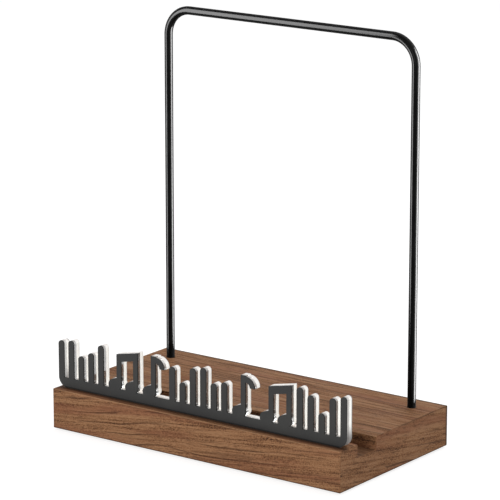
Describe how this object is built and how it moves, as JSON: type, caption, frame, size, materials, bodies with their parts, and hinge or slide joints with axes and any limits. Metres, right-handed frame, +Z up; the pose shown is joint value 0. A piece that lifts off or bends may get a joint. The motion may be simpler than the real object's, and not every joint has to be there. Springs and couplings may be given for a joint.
{
  "type": "record display stand",
  "caption": "Holds a record in its sleeve upright: a grooved wooden base with a bent rod frame behind the groove and a layered cut-out sign of notes and sound bars on the front lip.",
  "frame": {"origin": "centre of the footprint, at the level that the feet stand on", "axes": "+X along the groove to the viewer's right, +Y to the back, +Z up"},
  "size_m": [0.26, 0.1376, 0.307],
  "materials": {
    "walnut": "satin oiled walnut",
    "black_rod": "semi-gloss black",
    "black_acrylic": "satin",
    "clear_acrylic": "clear with polished edges",
    "pin_steel": "ground",
    "foot_rubber": "matte"
  },
  "bodies": {
    "base": {"base_block": "walnut", "sign_face": "black_acrylic", "sign_body": "clear_acrylic", "sign_pin_left": "pin_steel", "sign_pin_right": "pin_steel", "foot_front_left": "foot_rubber", "foot_front_right": "foot_rubber", "foot_rear_left": "foot_rubber", "foot_rear_right": "foot_rubber"},
    "frame": {"rod_frame": "black_rod"}
  },
  "joints": [
    {"name": "frame_lift", "type": "slide", "parent": "base", "child": "frame", "axis": [0, 0, 1], "range_m": [0, 0.025]}
  ]
}
